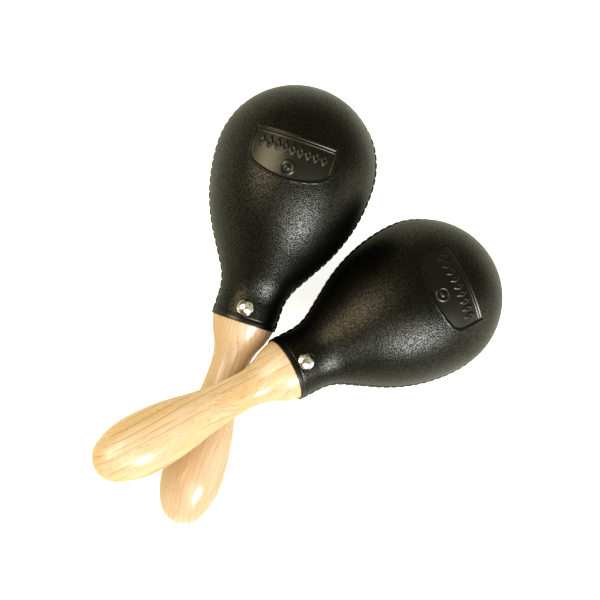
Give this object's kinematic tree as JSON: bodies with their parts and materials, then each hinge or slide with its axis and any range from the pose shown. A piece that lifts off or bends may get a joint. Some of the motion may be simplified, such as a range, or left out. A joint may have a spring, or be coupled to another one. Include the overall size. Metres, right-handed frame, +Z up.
{
  "type": "pair of maracas",
  "caption": "Crossed pair of shaker percussion instruments: hollow grained shells with a stitched-look seam on turned wooden handles, loose shot inside.",
  "frame": {"origin": "on the table, under the middle of the pair's box", "axes": "+Z up from the table, +Y along the pair from the butts of the handles to the heads, +X to the right seen from above with the heads away"},
  "size_m": [0.2042, 0.2567, 0.0944],
  "materials": {
    "shell": "satin",
    "left_wood": "gloss",
    "right_wood": "gloss",
    "tack": "polished",
    "shot": "satin"
  },
  "bodies": {
    "left_maraca": {"left_front_shell": "shell", "left_rear_shell": "shell", "left_handle": "left_wood", "left_front_tack": "tack", "left_rear_tack": "tack"},
    "right_maraca": {"right_front_shell": "shell", "right_rear_shell": "shell", "right_handle": "right_wood", "right_front_tack": "tack", "right_rear_tack": "tack"},
    "left_rolling_shot": {"left_rolling_shot": "shot"},
    "left_thrown_shot": {"left_thrown_shot": "shot"},
    "right_rolling_shot": {"right_rolling_shot": "shot"},
    "right_thrown_shot": {"right_thrown_shot": "shot"}
  },
  "joints": [
    {"name": "right_lift", "type": "slide", "parent": "left_maraca", "child": "right_maraca", "axis": [0, 0, 1], "range_m": [0, 0.12]},
    {"name": "left_shot_roll", "type": "hinge", "parent": "left_maraca", "child": "left_rolling_shot", "pos_m": [-0.01723, -0.00594, 0.0327], "axis": [-0.3901, 0.9076, 0.1553], "continuous": true},
    {"name": "left_shot_throw", "type": "slide", "parent": "left_maraca", "child": "left_thrown_shot", "axis": [0.0613, -0.1427, 0.9879], "range_m": [0, 0.066]},
    {"name": "right_shot_roll", "type": "hinge", "parent": "right_maraca", "child": "right_rolling_shot", "pos_m": [0.01677, -0.01414, 0.04795], "axis": [0.3949, 0.9187, -0.0099], "continuous": true},
    {"name": "right_shot_throw", "type": "slide", "parent": "right_maraca", "child": "right_thrown_shot", "axis": [0.0039, 0.0091, 1], "range_m": [0, 0.066]}
  ]
}
